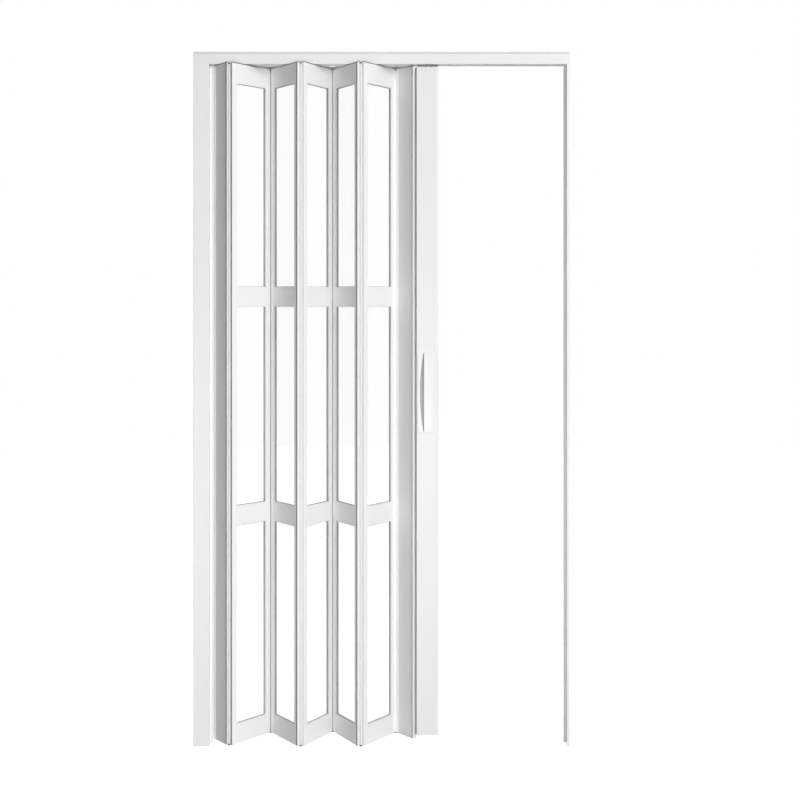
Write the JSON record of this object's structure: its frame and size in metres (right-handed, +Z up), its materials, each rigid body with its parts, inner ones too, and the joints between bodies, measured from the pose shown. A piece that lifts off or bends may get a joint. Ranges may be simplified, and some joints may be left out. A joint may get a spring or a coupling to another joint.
{
  "type": "aluminium folding door",
  "caption": "White aluminium folding door, partly open, with clear-glazed leaves hung from a head track, a lead post with a crescent pull, and two jambs.",
  "frame": {"origin": "middle of the top face of the head track, where it is screwed up to the lintel", "axes": "+X to the right seen from the room in front, towards the closing jamb; +Y into the wall; +Z up"},
  "size_m": [1.1, 0.1417, 2.03],
  "materials": {
    "frame_coat": "satin white powder coat",
    "leaf_coat": "satin white powder coat",
    "slat_coat": "satin white powder coat",
    "lead_coat": "satin white powder coat",
    "glass": "clear",
    "hinge_strip": "soft satin",
    "handle": "moulded, low gloss",
    "end_cap": "moulded, matt",
    "wheel": "turned nylon",
    "hanger": "zinc plated"
  },
  "bodies": {
    "root": {"closing_slat": "slat_coat", "fold_hinge_1": "hinge_strip", "fold_hinge_2": "hinge_strip", "fold_hinge_3": "hinge_strip", "fold_hinge_4": "hinge_strip", "fold_hinge_5": "hinge_strip", "fold_hinge_6": "hinge_strip", "front_handle": "handle", "hanger_wheels": "wheel", "lead_bottom_cap": "end_cap", "lead_carriage": "hanger", "lead_hinge": "hinge_strip", "lead_post": "lead_coat", "lead_receiver": "lead_coat", "lead_top_cap": "end_cap", "lead_wheels": "wheel", "left_jamb": "frame_coat", "left_receiver": "frame_coat", "left_track_cap": "end_cap", "panel_1_glass": "glass", "panel_1_rails": "leaf_coat", "panel_1_stiles": "leaf_coat", "panel_2_glass": "glass", "panel_2_rails": "leaf_coat", "panel_2_stiles": "leaf_coat", "panel_3_glass": "glass", "panel_3_rails": "leaf_coat", "panel_3_stiles": "leaf_coat", "panel_4_glass": "glass", "panel_4_rails": "leaf_coat", "panel_4_stiles": "leaf_coat", "panel_5_glass": "glass", "panel_5_rails": "leaf_coat", "panel_5_stiles": "leaf_coat", "panel_hangers": "hanger", "rear_handle": "handle", "right_jamb": "frame_coat", "right_track_cap": "end_cap", "root_hinge": "hinge_strip", "starter_slat": "slat_coat", "top_track": "frame_coat"}
  },
  "joints": []
}
